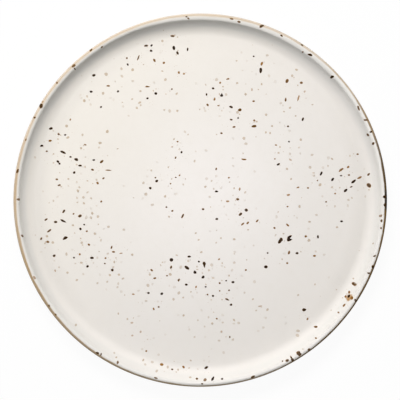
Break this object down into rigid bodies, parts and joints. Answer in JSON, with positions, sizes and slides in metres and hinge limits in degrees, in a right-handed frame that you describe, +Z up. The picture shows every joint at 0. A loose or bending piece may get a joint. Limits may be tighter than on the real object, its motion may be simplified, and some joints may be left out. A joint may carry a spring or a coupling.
{
  "type": "serving platter",
  "caption": "Flat round stoneware serving platter with a low upright rim, a rounded brown-edged lip, cream glaze with iron flecks and a foot ring underneath.",
  "frame": {"origin": "centre of the foot ring on the surface that the platter stands on", "axes": "+Z up out of the well, +X to the right and +Y away from the viewer in the picture"},
  "size_m": [0.32, 0.32, 0.0191],
  "materials": {
    "clay": "bare fired stoneware, matt and slightly gritty",
    "face_glaze": "warm off-white satin glaze",
    "lip_band": "brown iron band, satin, uneven in tone",
    "back_glaze": "warm off-white satin glaze",
    "base_glaze": "warm off-white satin glaze",
    "black_fleck": "melted iron fleck, near black",
    "brown_fleck": "iron fleck, rust brown",
    "lip_fleck": "iron fleck on the lip, dark brown"
  },
  "bodies": {
    "root": {"clay_body": "clay", "face_glaze": "face_glaze", "lip_band": "lip_band", "back_glaze": "back_glaze", "base_glaze": "base_glaze", "black_flecks": "black_fleck", "brown_flecks": "brown_fleck", "lip_flecks": "lip_fleck"}
  },
  "joints": []
}
